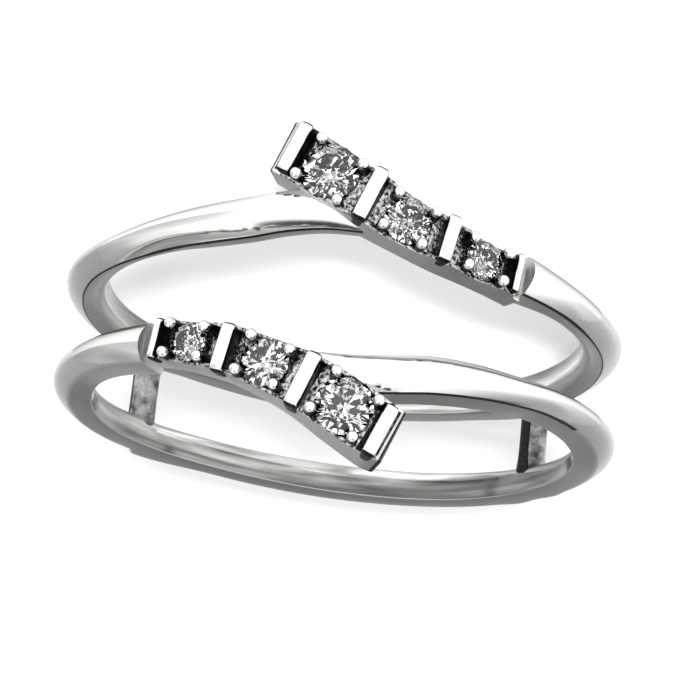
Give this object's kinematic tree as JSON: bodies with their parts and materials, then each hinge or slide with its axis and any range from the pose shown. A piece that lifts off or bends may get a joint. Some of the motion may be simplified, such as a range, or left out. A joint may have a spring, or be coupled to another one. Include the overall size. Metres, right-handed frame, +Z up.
{
  "type": "ring guard enhancer",
  "caption": "Open double band that clasps a solitaire ring between two slim bands, each with an oblique bar of graduated round stones.",
  "frame": {"origin": "middle of the ring's box, on the surface it lies on", "axes": "+Z up from the surface, +Y towards the plain back of the bands, -Y towards the jewels, +X to the side"},
  "size_m": [0.0204, 0.021, 0.0111],
  "materials": {
    "white_gold": "high polish rhodium-plated white gold",
    "stone": "clear faceted stone"
  },
  "bodies": {
    "root": {"ring_frame": "white_gold", "front_large_stone": "stone", "front_middle_stone": "stone", "front_small_stone": "stone", "rear_large_stone": "stone", "rear_middle_stone": "stone", "rear_small_stone": "stone"}
  },
  "joints": []
}
